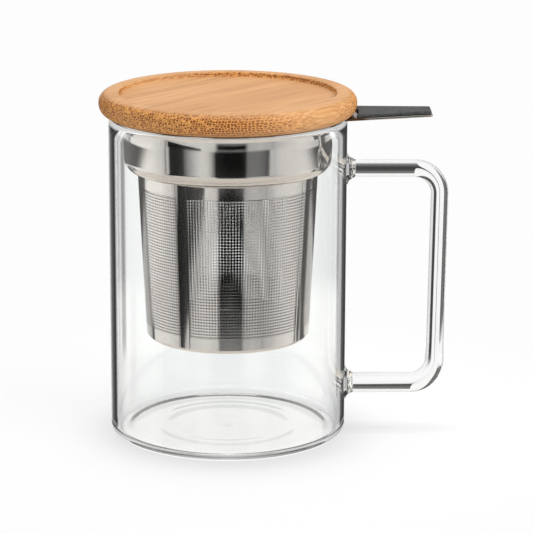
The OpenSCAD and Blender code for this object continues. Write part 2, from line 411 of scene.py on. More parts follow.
# %% [markdown]
# ### Bamboo
# Bamboo has no rings. It is a pale ground with stiff fibre bundles running all one
# way, glued up from strips. Seen from the side the bundles are long streaks, and
# where the lid's edge cuts across them they are dark dots. One solid texture gives
# both: cells in the plane across the fibres, stretched a hundredfold along them.

# %% The group of bamboo fibres
FIBRE_ANGLE = 48.0
STRIP_WIDTH = 0.0052


def bamboo_fibres():
    """Fibre bundles along one direction in the lid's plane.

    Vector is the object coordinate in metres. Dots is the mask of the bundles, Rims
    is the thin pale net between them, Fine is thin grain and Strip is a random
    tone for each glued strip.
    """
    group, given, result = new_group(
        "bamboo_fibres", [("Vector", "Vector", None), ("Bundles per Metre", "Float", 1320.0)],
        ["Dots", "Rims", "Fine", "Strip"])
    turn = add_node(group, "Mapping", {
        "Vector": given["Vector"], "Rotation": (0, 0, np.radians(-FIBRE_ANGLE))})
    # a slight wander, so that the fibres aren't ruled lines
    wander = add_node(group, "TexNoise", {"Vector": turn.outputs[0], "Scale": 45.0, "Detail": 1.0})
    shifted = add_node(group, "VectorMath", {
        0: wander.outputs["Color"], 1: (0.0, 0.0008, 0.0008), 2: turn.outputs[0]}, operation="MULTIPLY_ADD")

    def squeezed(along):
        """The coordinate pressed together along the fibres."""
        pressed = {0: shifted.outputs[0], 1: (along, 1.0, 1.0)}
        return add_node(group, "VectorMath", pressed, operation="MULTIPLY").outputs[0]

    # bundles, and the net between them
    cell = {"Vector": squeezed(0.02), "Scale": given["Bundles per Metre"], "Randomness": 0.6}
    bundle = add_node(group, "TexVoronoi", cell)
    net = add_node(group, "TexVoronoi", cell, feature="DISTANCE_TO_EDGE")
    grain = add_node(group, "TexNoise", {
        "Vector": squeezed(0.012), "Scale": 2600.0, "Detail": 4.0, "Roughness": 0.6})
    # glued strips
    across = add_node(group, "SeparateXYZ", {0: shifted.outputs[0]}).outputs["Y"]
    strip = math_node(group, "FLOOR", math_node(group, "DIVIDE", across, STRIP_WIDTH))
    random = add_node(group, "TexWhiteNoise", noise_dimensions="1D")
    fill(group, random.inputs["W"], strip)
    fill(group, result["Dots"], ranged(group, bundle.outputs["Distance"], 0.45, 0.24))
    fill(group, result["Rims"], ranged(group, net.outputs["Distance"], 0.16, 0.03))
    fill(group, result["Fine"], grain.outputs["Fac"])
    fill(group, result["Strip"], random.outputs["Value"])
    return group


bamboo_group = bamboo_fibres()


def bamboo():
    """Oiled bamboo: pale and streaked along the fibres, deep and dotted across them."""
    finish = Finish("bamboo")
    tree = finish.tree
    fibres = finish.add("Group", node_tree=bamboo_group)
    fill(tree, fibres.inputs["Vector"], finish.place["Object"])
    dots, rims, fine, strip = fibres.outputs
    # how squarely the surface cuts the fibres, from 0 along them to 1 across
    a = np.radians(FIBRE_ANGLE)
    along = finish.add("VectorMath", {
        0: finish.place["Normal"], 1: (np.cos(a), np.sin(a), 0)}, operation="DOT_PRODUCT")
    end = ranged(tree, math_node(tree, "ABSOLUTE", along.outputs["Value"]), 0.14, 0.72)
    # ground colour: streaks of grain, then the strips' own tones
    streaks = ramp(tree, fine, [
        (0.26, (0.33, 0.145, 0.04)), (0.42, (0.475, 0.237, 0.083)), (0.5, (0.54, 0.277, 0.105)),
        (0.68, (0.65, 0.375, 0.175))])
    strips = ramp(tree, strip, [
        (0.0, (0.9, 0.84, 0.78)), (0.5, (1.0, 0.98, 0.95)), (1.0, (1.04, 1.04, 1.08))])
    ground = mixed(tree, 1.0, streaks, strips, "MULTIPLY")
    # long bundles seen from the side, and their dark ends
    sided = mixed(tree, times(tree, dots, 0.42), ground, (0.36, 0.155, 0.04))
    end_ground = mixed(tree, 1.0, ground, (0.55, 0.27, 0.075), "MULTIPLY")
    end_pale = mixed(tree, times(tree, rims, 0.85), end_ground, (0.82, 0.405, 0.105))
    ended = mixed(tree, times(tree, dots, 0.9), end_pale, (0.115, 0.032, 0.004))
    finish.set(Base_Color=mixed(tree, end, sided, ended), Roughness=ranged(tree, fine, 0, 1, 0.42, 0.6))
    bumped(finish, math_node(tree, "SUBTRACT", fine, dots), 0.35, 0.00006)
    return finish.material


oiled_bamboo = bamboo()
print("wood:", oiled_bamboo.name)

# %% [markdown]
# ### Silicone
# The grip is matte black silicone with a fine moulded grain, and the seal under
# the lid is the milky kind. Both are soft noise on colour, roughness and bump.

# %% Silicone finishes
def silicone(name, dark, light, roughness, grain_scale, depth, milkiness):
    finish = Finish(name)
    grain = lined(finish, (grain_scale, grain_scale, grain_scale), 220.0)
    finish.set(
        Base_Color=ramp(finish.tree, grain["Lines"], [(0.35, dark), (0.75, light)]),
        Roughness=ranged(finish.tree, grain["Tone"], 0, 1, *roughness), Subsurface_Weight=milkiness)
    bumped(finish, grain["Lines"], 0.6, depth)
    return finish.material


black_silicone = silicone(
    "black_silicone", (0.008, 0.0085, 0.009), (0.085, 0.088, 0.09), (0.5, 0.7), 1700, 0.00012, 0.0)
milky_silicone = silicone(
    "clear_silicone", (0.70, 0.70, 0.68), (0.82, 0.82, 0.80), (0.35, 0.5), 900, 0.00003, 0.3)
print("silicone:", black_silicone.name, milky_silicone.name)

# %% [markdown]
# ## The glass cup
# The cup is one closed outline: from the hollow under the foot, round the foot, up
# the wall, over the fire-polished rim, down inside and across the floor. The floor
# is drawn slightly domed, as blown glass is, which gives the soft rings in it.

# %% Make the cup
WALL = 2.4
FLOOR = 1.5
FOOT_ROUND = 3.0
INSIDE_ROUND = 1.6
PUNT_R = 32.0
PUNT_SLOPE = 3.0
PUNT_H = 0.3


def cup_outline():
    bore = mug_r - WALL
    floor_top = FLOOR + PUNT_H
    slope = np.linspace(0, 1, 9)[:, None]
    under = np.hstack([PUNT_R + PUNT_SLOPE * slope, PUNT_H * (1 + np.cos(np.pi * slope)) / 2])
    foot = arc(mug_r - FOOT_ROUND, FOOT_ROUND, FOOT_ROUND, -90, 0, 16)
    rim = arc(mug_r - WALL / 2, mug_h - WALL / 2, WALL / 2, 0, 180)
    inside = arc(bore - INSIDE_ROUND, floor_top + INSIDE_ROUND, INSIDE_ROUND, 0, -90)
    return outline((0, PUNT_H), under, foot, rim, inside, floor_rings(bore - INSIDE_ROUND, floor_top))


def floor_rings(radius, top):
    """The inside floor from its corner to the axis: a shallow ring and a blown point.

    z = top - 0.05 + 0.05 exp(-((r - 22) / 2)^2) + 0.03 exp(-(r / 3)^2) + 0.05 (r / radius)^6
    """
    r = np.linspace(radius, 0, 90)
    ring = 0.05 * np.exp(-(((r - 22) / 2) ** 2)) + 0.03 * np.exp(-((r / 3) ** 2))
    return np.stack([r, top - 0.05 + ring + 0.05 * (r / radius) ** 6], 1)


mug_glass = make_piece("mug_glass", revolved(subdivided(cup_outline(), 4.0), 320), clear_glass)

# %% [markdown]
# ## The glass handle
# The handle is a solid rod bent to a U. A circle is carried along the rod's middle
# line, and the circle's radius grows towards both ends, where the hot glass was
# pressed on the wall and spread. There the last rings follow the round wall.

# %% Make the handle
FLARE_R = 5.5
ROD_R = 3.1
BEND_R = 8.6
WELD_GAP = 0.02
WELD_REACH = 3.0
# the rod was bent by hand: the leg leans in, and the lower arm is a little thicker
LEAN = 0.7
UPPER_MORE, LOWER_MORE = -0.15, 0.35
# the share of the rod's length at which it starts to thicken, and over how much of it
THICKER_AT, THICKER_OVER = 0.68, 0.1
ARM_TOP = high("mug_handle")[2] - FLARE_R
ARM_LOW = low("mug_handle")[2] + FLARE_R
LEG_X = leg_out - ROD_R


def rod_path(steps, near=8.0):
    """Middle line of the rod by arc length: arm, quarter bend, leg, quarter bend, arm.

    Returns points (x, z), unit tangents and the arc length at each. The steps are
    finer near both ends.
    """
    arm = LEG_X - BEND_R - mug_r
    leg = ARM_TOP - ARM_LOW - 2 * BEND_R
    bend = BEND_R * np.pi / 2
    ends = np.cumsum([0, arm, bend, leg, bend, arm])
    stop = ends[-1]
    s = np.unique(np.concatenate([
        np.linspace(0, near, 60), np.linspace(near, stop - near, steps),
        np.linspace(stop - near, stop, 60)]))
    out, down, back = (np.clip(s - ends[k], 0, length) for k, length in ((0, arm), (2, leg), (4, arm)))
    t1, t2 = (np.clip((s - ends[k]) / BEND_R, 0, np.pi / 2) for k in (1, 3))
    lean = LEAN * np.clip((s - ends[2]) / leg, 0, 1) * np.clip((stop - s) / arm, 0, 1)
    x = mug_r + out + BEND_R * np.sin(t1) - BEND_R * (1 - np.cos(t2)) - back - lean
    z = ARM_TOP - BEND_R * (1 - np.cos(t1)) - down - BEND_R * np.sin(t2)
    return np.stack([x, z], 1), np.stack([np.cos(t1 + t2), -np.sin(t1 + t2)], 1), s


def flare(distance):
    """Radius added near an end, a lip on the wall and a short cone with a soft edge.

    1.2 exp(-(d / 0.6)^2) + 1.25 (1 - d / 2.7)^0.8
    """
    return 1.2 * np.exp(-((distance / 0.6) ** 2)) + 1.25 * np.clip(1 - distance / 2.7, 0, 1) ** 0.8


def handle_surface(around=72):
    """Circles across the path: middle + radius (cos b n + sin b Y), n across the path.

    At the ends the flare is added, uneven by 1 - 0.12 cos b + 0.05 sin(3 b + 0.7)
    + 0.035 sin(5 b + 2).
    """
    middle, tangent, s = rod_path(260)
    total = s[-1]
    b = np.linspace(0, 2 * np.pi, around, endpoint=False)
    lower = np.clip((s / total - THICKER_AT) / THICKER_OVER, 0, 1)
    uneven = 1 - 0.12 * np.cos(b) + 0.05 * np.sin(3 * b + 0.7) + 0.035 * np.sin(5 * b + 2.0)
    radius = (ROD_R + UPPER_MORE + (LOWER_MORE - UPPER_MORE) * lower)[:, None]
    radius = radius + flare(np.minimum(s, total - s))[:, None] * uneven
    x = middle[:, :1] - radius * np.cos(b) * tangent[:, 1:]
    z = middle[:, 1:] + radius * np.cos(b) * tangent[:, :1]
    grid = np.stack([x, radius * np.sin(b), z], -1)
    # closing discs: rings that shrink to the middle of each end
    shrink = np.linspace(0, 1, 9)[:-1, None, None]
    caps = []
    for end in (0, -1):
        hub = np.array([grid[end, :, 0].mean(), 0, middle[end, 1]])
        caps.append(hub + (grid[end] - hub) * shrink)
    grid = np.concatenate([caps[0], grid, caps[1][::-1]])
    # near the wall the rings bend to follow its round
    x, y = grid[:, :, 0], grid[:, :, 1]
    reach = np.clip(1 - (x - mug_r) / WELD_REACH, 0, 1)
    grid[:, :, 0] = x - reach * (mug_r - np.sqrt(mug_r**2 - y**2)) + WELD_GAP
    return grid.reshape(-1, 3), grid_faces(len(grid), around, False, True)


handle = make_piece("glass_handle", handle_surface(), rod_glass)

# %% [markdown]
# ## The steel collar
# The collar is drawn from one sheet: a flange that hangs on the rim, a wall with a
# little draft, a rounded shoulder and a neck that carries the basket. Its outline
# goes down the outside and comes back up the inside, one sheet's thickness away.

# %% Make the collar
SHEET = 0.8
COLLAR_GAP = 2.3
COLLAR_R = mug_r - WALL - COLLAR_GAP
SHOULDER_R = 4.5
DRAFT = 0.5
FILLET = 0.9
MOUTH_R = 1.2
NECK_IN = 0.7
FIT = 0.05
shoulder_low = cone_top + FIT
shoulder_z = shoulder_low + SHOULDER_R
flange_low = flange_top - SHEET
shoulder_mid = COLLAR_R - DRAFT - SHOULDER_R
neck_r = shoulder_mid - NECK_IN


def collar_outline():
    neck = [(neck_r, shoulder_low), (neck_r, neck_low), (neck_r - SHEET, neck_low),
            (neck_r - SHEET, shoulder_low + SHEET)]
    return outline(
        arc(flange_r - SHEET / 2, flange_low + SHEET / 2, SHEET / 2, 90, -90),
        arc(COLLAR_R + FILLET, flange_low - FILLET, FILLET, 90, 180, 8),
        arc(shoulder_mid, shoulder_z, SHOULDER_R, 0, -90, 20), neck,
        arc(shoulder_mid, shoulder_z, SHOULDER_R - SHEET, -90, 0, 20),
        arc(COLLAR_R - SHEET + MOUTH_R, flange_top - MOUTH_R, MOUTH_R, 180, 90, 8))


collar = make_piece("steel_collar", revolved(subdivided(collar_outline(), 1.0), 256), collar_steel)

# %% [markdown]
# ## The perforated sheet
# The basket is a thin sheet with a square grid of small round holes, rolled to a
# cone. One cell of the grid is worked out flat: a square with an eight-sided hole,
# on the sheet's outside, its inside and the wall of the hole. The cell is then
# repeated and the whole sheet rolled, all as arrays. A plain strip is left for the
# lap seam, and plain bands at the top and the bottom.

# %% Make the basket's sheet
PITCH = 1.0
HOLE_R = 0.32
COLUMNS = 184
BASKET_SHEET = 0.4
SEAM_ANGLE = 240.0
SEAM_W = 3.4
SEAM_PROUD = 0.3
BAND_TOP = 4.45
BAND_LOW = 4.05
TAPER = 2.7
ROWS = int((cone_top - cone_low - BAND_TOP - BAND_LOW) / PITCH)


def cone_radius(z):
    """Outer radius of the rolled sheet at a height."""
    return shoulder_mid - TAPER * (cone_top - z) / (cone_top - cone_low)


def rolled(turn, height, depth):
    """Rolls flat places to the cone: turn in radians, depth inwards from the outside."""
    r = cone_radius(height) - depth
    return np.stack([r * np.cos(turn), r * np.sin(turn), height], -1)


def hole_ring():
    """The eight points of a hole round its middle, counter-clockwise from the right."""
    a = np.radians(22.5 + 45 * np.arange(8))
    return HOLE_R * np.stack([np.cos(a), np.sin(a)], -1)


def cell_faces(square, ring, total):
    """Triangles of square cells with an eight-sided hole: two sides and the hole's wall.

    square holds the indices of the corners (right-low, right-high, left-high,
    left-low) and ring those of the hole. The other side's points come total later.
    """
    side, wall = [], []
    for k, near in enumerate((7, 1, 3, 5)):
        after = (near + 1) % 8
        side += [(square[k], ring[near], ring[near - 1]), (square[k], square[(k + 1) % 4], ring[after]),
                 (square[k], ring[after], ring[near])]
    for here, after in zip(ring, ring[1:] + ring[:1]):
        wall += [(here, after, after + total), (here, after + total, here + total)]
    side, wall = (np.stack([np.stack(f, -1) for f in found]).reshape(-1, 3) for found in (side, wall))
    return np.concatenate([side, side[:, ::-1] + total, wall])


def edge_loop(rows, columns):
    """Indices of a grid's outer points in order round its edge."""
    n = columns + 1
    return np.concatenate([
        np.arange(n), np.arange(1, rows + 1) * n + columns, rows * n + np.arange(columns)[::-1],
        np.arange(1, rows)[::-1] * n])


def bridge(first, second):
    """Two triangles between each step of two loops of the same length."""
    f2, s2 = np.roll(first, -1), np.roll(second, -1)
    return np.concatenate([np.stack([first, second, s2], 1), np.stack([first, s2, f2], 1)])


def pierced_sheet(columns, rows, turns, heights):
    """A closed curved panel with rows x columns holes, as triangles.

    Corner points are shared by neighbouring cells. Each cell joins its four corners
    to the hole's eight points on both faces of the sheet, and the hole's two rings
    to each other. The panel's four edges are closed by strips.
    """
    u, v = np.linspace(*turns, columns + 1), np.linspace(*heights, rows + 1)
    height, turn = np.meshgrid(v, u, indexing="ij")
    mid_v, mid_u = np.meshgrid((v[:-1] + v[1:]) / 2, (u[:-1] + u[1:]) / 2, indexing="ij")
    across, up = hole_ring().T
    hole_turn = mid_u[:, :, None] + across / cone_radius(mid_v)[:, :, None]
    hole_height = mid_v[:, :, None] + up
    points = np.concatenate([
        rolled(t, h, depth).reshape(-1, 3) for depth in (0.0, BASKET_SHEET)
        for t, h in ((turn, height), (hole_turn, hole_height))])
    total = len(points) // 2
    i, j = (index.ravel() for index in np.indices((rows, columns)))
    square = [(i + di) * (columns + 1) + j + dj for di, dj in ((0, 1), (1, 1), (1, 0), (0, 0))]
    ring = [turn.size + (i * columns + j) * 8 + k for k in range(8)]
    edge = edge_loop(rows, columns)
    return points, np.concatenate([cell_faces(square, ring, total), bridge(edge, edge + total)])


def plain_panel(columns, rows, turns, heights, proud):
    """A closed curved panel with no holes, from proud of the sheet to its inside."""
    height, turn = np.meshgrid(
        np.linspace(*heights, rows + 1), np.linspace(*turns, columns + 1), indexing="ij")
    sides = [rolled(turn, height, depth).reshape(-1, 3) for depth in (-proud, BASKET_SHEET)]
    quads = grid_faces(rows + 1, columns + 1, False, False)
    triangles = np.concatenate([quads[:, [0, 1, 2]], quads[:, [0, 2, 3]]])
    edge, total = edge_loop(rows, columns), turn.size
    return np.concatenate(sides), np.concatenate([
        triangles, triangles[:, ::-1] + total, bridge(edge, edge + total)])


seam = np.radians(SEAM_ANGLE)
half_seam = SEAM_W / 2 / cone_radius((cone_top + cone_low) / 2)
holes_low, holes_high = cone_low + BAND_LOW, cone_top - BAND_TOP
half_rows = ROWS // 2
holes_mid = holes_low + (holes_high - holes_low) * half_rows / ROWS
turns = (seam + half_seam, seam - half_seam + 2 * np.pi)
sheets = [
    make_piece(name, pierced_sheet(COLUMNS, rows, turns, heights), sheet_steel, weld=False)
    for name, rows, heights in (
        ("basket_sheet_lower", half_rows, (holes_low, holes_mid)),
        ("basket_sheet_upper", ROWS - half_rows, (holes_mid, holes_high)))]

# %% [markdown]
# The plain bands above and below the holes are turned rings of the same sheet, and
# the lap seam is a strip one sheet thick that stands a little proud of the cone.

# %% Make the bands and the seam
SOFT_EDGE = 0.1


def band_outline(low_z, high_z):
    """A ring of the sheet with softly rounded edges between two heights."""
    r_low, r_high = cone_radius(low_z), cone_radius(high_z)
    return outline(
        (r_low - SOFT_EDGE, low_z), (r_low, low_z + SOFT_EDGE), (r_high, high_z - SOFT_EDGE),
        (r_high - SOFT_EDGE, high_z), (r_high - BASKET_SHEET, high_z), (r_low - BASKET_SHEET, low_z),
        (r_low - SOFT_EDGE, low_z))


bands = [
    make_piece(name, revolved(subdivided(band_outline(*heights), 1.0)[:-1], 256), sheet_steel)
    for name, heights in (
        ("basket_band_lower", (cone_low, holes_low)), ("basket_band_upper", (holes_high, cone_top)))]
lap = make_piece("basket_lap_seam", plain_panel(
    8, 60, (seam - half_seam, seam + half_seam), (cone_low + SOFT_EDGE, cone_top - SOFT_EDGE), SEAM_PROUD,
), sheet_steel)

# %% [markdown]
# ## The basket's pan
# A shallow pan closes the cone. Its floor has the same holes, and a rounded edge
# leads into an upright rim inside the cone. The floor is a flat disc: the same
# cells on a square grid, and a plain border from the grid's stepped edge to a circle.

# %% Make the pan
PAN_ROUND = 1.3
pan_flat = pan_r - PAN_ROUND
pan_top = high("basket_base")[2]


def pan_outline():
    """The pan's edge and rim, from the flat floor's circle out and back."""
    middle = (pan_flat, pan_low + PAN_ROUND)
    return outline(
        arc(*middle, PAN_ROUND, -90, 0), (pan_r, pan_top), (pan_r - BASKET_SHEET, pan_top),
        arc(*middle, PAN_ROUND - BASKET_SHEET, 0, -90))


def pierced_disc(radius, low_z, high_z):
    """A closed flat disc with a square grid of eight-sided holes, as triangles."""
    count = int(radius / PITCH)
    i, j = np.indices((2 * count + 1, 2 * count + 1)) - count
    middle = np.stack([i, j], -1)[np.hypot(i, j) * PITCH < radius - PITCH] * PITCH
    corner = middle[:, None] + PITCH / 2 * np.array([(1, -1), (1, 1), (-1, 1), (-1, -1)])
    ring = middle[:, None] + hole_ring()
    # the grid's outer corners belong to fewer than four cells; a circle goes round them
    places, uses = np.unique(np.round(corner.reshape(-1, 2), 4), axis=0, return_counts=True)
    edge = places[uses < 4]
    edge = edge[np.argsort(np.arctan2(edge[:, 1], edge[:, 0]))]
    turn = np.linspace(0, 2 * np.pi, 192, endpoint=False)
    circle = radius * np.stack([np.cos(turn), np.sin(turn)], -1)
    loops = [[Vector((x, y, 0)) for x, y in loop] for loop in (circle, edge)]
    border = np.array(tessellate_polygon(loops))
    flat = np.concatenate([corner.reshape(-1, 2), ring.reshape(-1, 2), circle, edge])
    total, cell = len(flat), np.arange(len(middle))
    border += len(cell) * 12
    a, b, c = (flat[border[:, k]] for k in range(3))
    turned = (b - a)[:, 0] * (c - a)[:, 1] - (b - a)[:, 1] * (c - a)[:, 0] < 0
    border[turned] = border[turned][:, ::-1]
    rim = len(cell) * 12 + np.arange(len(circle))
    square = [cell * 4 + k for k in range(4)]
    cells = cell_faces(square, [len(cell) * 4 + cell * 8 + k for k in range(8)], total)
    points = np.concatenate([np.column_stack([flat, np.full(total, z)]) for z in (high_z, low_z)])
    return points, np.concatenate([
        cells, border, border[:, ::-1] + total, bridge(rim, rim + total)[:, ::-1]])


pan = make_piece("basket_pan", revolved(subdivided(pan_outline(), 2.0), 192), sheet_steel)
pan_floor = make_piece(
    "basket_pan_floor", pierced_disc(pan_flat, pan_low, pan_low + BASKET_SHEET), sheet_steel)

# %% [markdown]
# ## The tab and its grip
# Both are flat plates with one outline each. The outline is drawn in by a quarter
# circle at the top and the bottom, which rounds the edge all the way round, and
# the plate is tilted by the tab's slight rise.

# %% Make the tab and the grip
TAB_W = 19.0
TIP_W = 10.2
TIP_ROUND = 1.2
RISE = 1.3
TAB_EDGE = 0.25
GRIP_T = 1.1
GRIP_INSET = 0.3
GRIP_GAP = 0.3
GRIP_EDGE = 0.4
GLUE = 0.02


def tab_loop(start_r, inset, steps=60):
    """Outline of the tab from an arc round the mug's axis out, counter-clockwise."""
    tip = tab_tip - inset
    root_half, tip_half = TAB_W / 2 - inset, TIP_W / 2 - inset
    r = TIP_ROUND - inset
    slope = (root_half - tip_half) / (tip - mug_r)
    y = np.linspace(1, -1, steps) * min(root_half, root_half - slope * (start_r - mug_r))
    root = np.stack([np.sqrt(start_r**2 - y**2), y], 1)
    loop = outline(
        arc(tip - r, -(tip_half - r), r, -75, 0, 14), arc(tip - r, tip_half - r, r, 0, 75, 14), root)
    return subdivided(np.concatenate([loop, loop[:1]]), 0.8)[:-1]


def tilted_plate(loop, low_z, high_z, edge):
    """A plate: the loop drawn in along its normals by a quarter circle at each face.

    It is then turned about the flange's edge by the angle a = RISE:
    x = x cos a - z sin a and z = x sin a + z cos a, measured from that edge.
    """
    step = np.roll(loop, -1, 0) - np.roll(loop, 1, 0)
    inward = -np.stack([step[:, 1], -step[:, 0]], 1) / np.linalg.norm(step, axis=1)[:, None]
    hub = loop.mean(0)
    a = np.linspace(0, np.pi / 2, 6)
    shares = np.array([0.0, 0.35, 0.7])
    rows = [(hub + (loop + inward * edge - hub) * share, low_z) for share in shares]
    sin, cos = 1 - np.sin(a), 1 - np.cos(a)
    rows += [(loop + inward * e, z) for e, z in zip(edge * sin, low_z + edge * cos)]
    rows += [(loop + inward * e, z) for e, z in zip(edge * cos, high_z - edge * sin)]
    rows += [(hub + (loop + inward * edge - hub) * share, high_z) for share in shares[::-1]]
    x, y, z = np.concatenate([np.column_stack([flat, np.full(len(loop), z)]) for flat, z in rows]).T
    x, z, a = x - flange_r, z - flange_low, np.radians(RISE)
    points = np.column_stack([
        flange_r + x * np.cos(a) - z * np.sin(a), y, flange_low + x * np.sin(a) + z * np.cos(a)])
    return points, grid_faces(len(rows), len(loop), False, True)


tab = make_piece("lifting_tab", tilted_plate(
    tab_loop(flange_r + FIT, 0.0), flange_low, flange_top, TAB_EDGE), tab_steel)
grip = make_piece("silicone_grip", tilted_plate(
    tab_loop(lid_r + GRIP_GAP, GRIP_INSET), flange_top + GLUE, flange_top + GRIP_T, GRIP_EDGE,
), black_silicone)

# %% [markdown]
# ## The lid
# The lid is turned from a bamboo board: a disc with a fully rounded rim and a
# shallow dish, and under it a plug with a groove for the seal.

# %% Make the lid and its seal
LID_T = 7.6
ROUND_TOP = 3.4
ROUND_LOW = 3.9
RIM_W = 7.0
DISH = 1.6
COVE = 0.9
PLUG_GAP = 1.75
PLUG_CHAMFER = 0.8
GROOVE = 1.6
SEAL_H = 3.6
lid_low = lid_top - LID_T
seal_low, seal_out = low("lid_seal")[2], high("lid_seal")[0]
seal_top = seal_low + SEAL_H
plug_r = COLLAR_R - SHEET - PLUG_GAP


def lid_outline():
    dish_r = lid_r - RIM_W
    lip = DISH - COVE
    groove = [(plug_r, seal_low - FIT), (plug_r - GROOVE, seal_low - FIT),
              (plug_r - GROOVE, seal_top + FIT), (plug_r, seal_top + FIT)]
    return outline(
        (0, plug_low), (plug_r - PLUG_CHAMFER, plug_low), (plug_r, plug_low + PLUG_CHAMFER), groove,
        (plug_r, lid_low), arc(lid_r - ROUND_LOW, lid_low + ROUND_LOW, ROUND_LOW, -90, 0, 16),
        arc(lid_r - ROUND_TOP, lid_top - ROUND_TOP, ROUND_TOP, 0, 90, 18),
        arc(dish_r + lip, lid_top - lip, lip, 90, 180, 8),
        arc(dish_r - COVE, lid_top - DISH + COVE, COVE, 0, -90, 8), (0, lid_top - DISH))


def seal_outline():
    """A flat ring with two round fins, each a third of the seal's height."""
    fin = SEAL_H / 6
    lower, upper = (arc(seal_out - fin, z, fin, -90, 90, 8) for z in (seal_low + fin, seal_top - fin))
    return outline(
        (plug_r - GROOVE + FIT, seal_low), (plug_r, seal_low), lower, (plug_r, seal_low + 2 * fin),
        (plug_r, seal_top - 2 * fin), upper, (plug_r - GROOVE + FIT, seal_top))


lid = make_piece("bamboo_lid", revolved(subdivided(lid_outline(), 2.5), 256), oiled_bamboo)
seal_ring = make_piece("seal_ring", revolved(seal_outline(), 192), milky_silicone)

# %% [markdown]
# ## Tie the pieces to the model
# Each new piece rides on an empty named for its body and hides the CAD nodes that it
# stands for; the extra pieces of the basket stand for none.

# %% Ride and replace
def stand_for(piece, body, slot, *nodes):
    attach(piece, body)
    if nodes:
        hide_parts(*nodes)


stand_for(mug_glass, "mug", "clear_glass", "mug_body")
stand_for(handle, "mug", "clear_glass_rod", "mug_handle")
stand_for(collar, "infuser", "bright_steel", "infuser_collar")
stand_for(sheets[0], "infuser", "perforated_steel", "basket_wall")
for piece in (sheets[1], lap, pan_floor, *bands):
    stand_for(piece, "infuser", "perforated_steel")
stand_for(pan, "infuser", "perforated_steel", "basket_base")
stand_for(tab, "infuser", "bright_steel", "infuser_tab")
stand_for(grip, "infuser", "black_silicone", "tab_grip")
stand_for(lid, "lid", "bamboo", "lid_disc")
stand_for(seal_ring, "seal", "clear_silicone", "lid_seal")

# %% [markdown]
# ## The studio
# The floor is a white sheet that shows white and keeps a soft shadow, partly from the
# lamps and mostly painted round the foot and under the handle. Polished steel shows its
# surroundings, so the world is white for the camera, and for mirrored and bent rays it
# holds a plain studio: tall soft panels to the left and right with dark gaps between them, at fixed
# directions in the room.

# %% Floor
# all in metres from the mug's middle: where the floor stops being lit by the lamps, and
# where it lets rays bent by glass pass through to the studio
LIT_TO, BENT_FROM = (0.04, 0.16), (0.085, 0.13)
# the ring on which the foot stands, between the painted shadow outside and the paper inside, which is
# painted brighter than white
FOOT_RING = (0.0385, 0.0372)
# middle, and unit of distance along each axis, of the painted shadow round the foot and of the painted
# shadow under the handle
PAINTED_FOOT_SHADOW = (0.001, -0.0035, 0), (0.1, 0.1, 1)
PAINTED_HANDLE_SHADOW = (0.052, -0.001, 0), (0.034, 0.009, 1)
FLOOR_HALF = 3.0
# the white of the picture's ground, on the floor and beyond it
WHITE = 0.983


def floor_material():
    """White to the camera with a light shadow, partly lit and mostly painted, and painted light inside the
    foot; mirrored rays pass through to the studio.

    Rays that have been bent by glass see the paper close to the mug, and the
    studio's own backdrop further out.
    """
    finish = Finish("white_floor")
    tree = finish.tree
    tree.nodes.remove(finish.shader)

    def distance(centre, scale):
        """Distance from a place on the floor, with the floor stretched by a scale."""
        moved = finish.add("Mapping", {
            "Vector": finish.place["Object"], "Location": centre, "Scale": scale}, vector_type="TEXTURE")
        return finish.add("VectorMath", {0: moved.outputs[0]}, operation="LENGTH").outputs["Value"]

    spread = distance((0, 0, 0), (1, 1, 1))
    # painted shadow: the paper close by the foot is painted darker, and a fainter painted shadow lies under
    # the handle
    foot = ramp(tree, distance(*PAINTED_FOOT_SHADOW), [
        (0.38, grey(0.8)), (0.43, grey(0.86)), (0.48, grey(0.925)), (0.55, grey(0.97)),
        (0.64, grey(WHITE))])
    # painted light: inside the foot ring the paper is painted brighter than white
    foot = mixed(tree, smooth(tree, spread, *FOOT_RING), foot, grey(1.1))
    painted_handle_shadow = ramp(tree, distance(*PAINTED_HANDLE_SHADOW), [
        (0.0, grey(0.86)), (0.45, grey(0.92)), (1.0, grey(1.0))], "EASE")
    lit = finish.add("BsdfDiffuse", {"Color": grey(0.88)})
    glow = finish.add("Emission", {"Color": mixed(tree, 1.0, foot, painted_handle_shadow, "MULTIPLY"), "Strength": 1.0})
    seen = finish.add("MixShader", {
        0: smooth(tree, spread, *LIT_TO, 0.8, 1.0), 1: lit.outputs[0], 2: glow.outputs[0]})
    path = finish.add("LightPath").outputs
    beyond = times(tree, above(tree, path["Transmission Depth"], 1.5), smooth(tree, spread, *BENT_FROM))
    passed = math_node(tree, "MAXIMUM", above(tree, path["Glossy Depth"], 0.5), beyond)
    through = finish.add("BsdfTransparent")
    finish.show(finish.add("MixShader", {0: passed, 1: seen.outputs[0], 2: through.outputs[0]}))
    return finish.material


floor_mesh = bpy.data.meshes.new("floor")
corners = [(x * FLOOR_HALF, y * FLOOR_HALF, 0) for x, y in ((-1, -1), (1, -1), (1, 1), (-1, 1))]
floor_mesh.from_pydata(corners, [], [(0, 1, 2, 3)])
floor_mesh.materials.append(floor_material())
floor = bpy.data.objects.new("floor", floor_mesh)
bpy.context.scene.collection.objects.link(floor)
floor.location.z = -0.0002
print("floor half side:", FLOOR_HALF, "m")

# %% [markdown]
# ### The studio round the mug
# Directions are given in degrees: round the mug from the camera's side, to the
# right, and up from level. A mirrored ray that runs level or a little down sees the
# panels, further down it sees the table, which is bright, and straight up the big
# overhead panel. Rays bent by the glass see the backdrop behind the mug: white in
# the middle, with the dark room on both sides of it. That dark gives the glass its
# outlines on white.

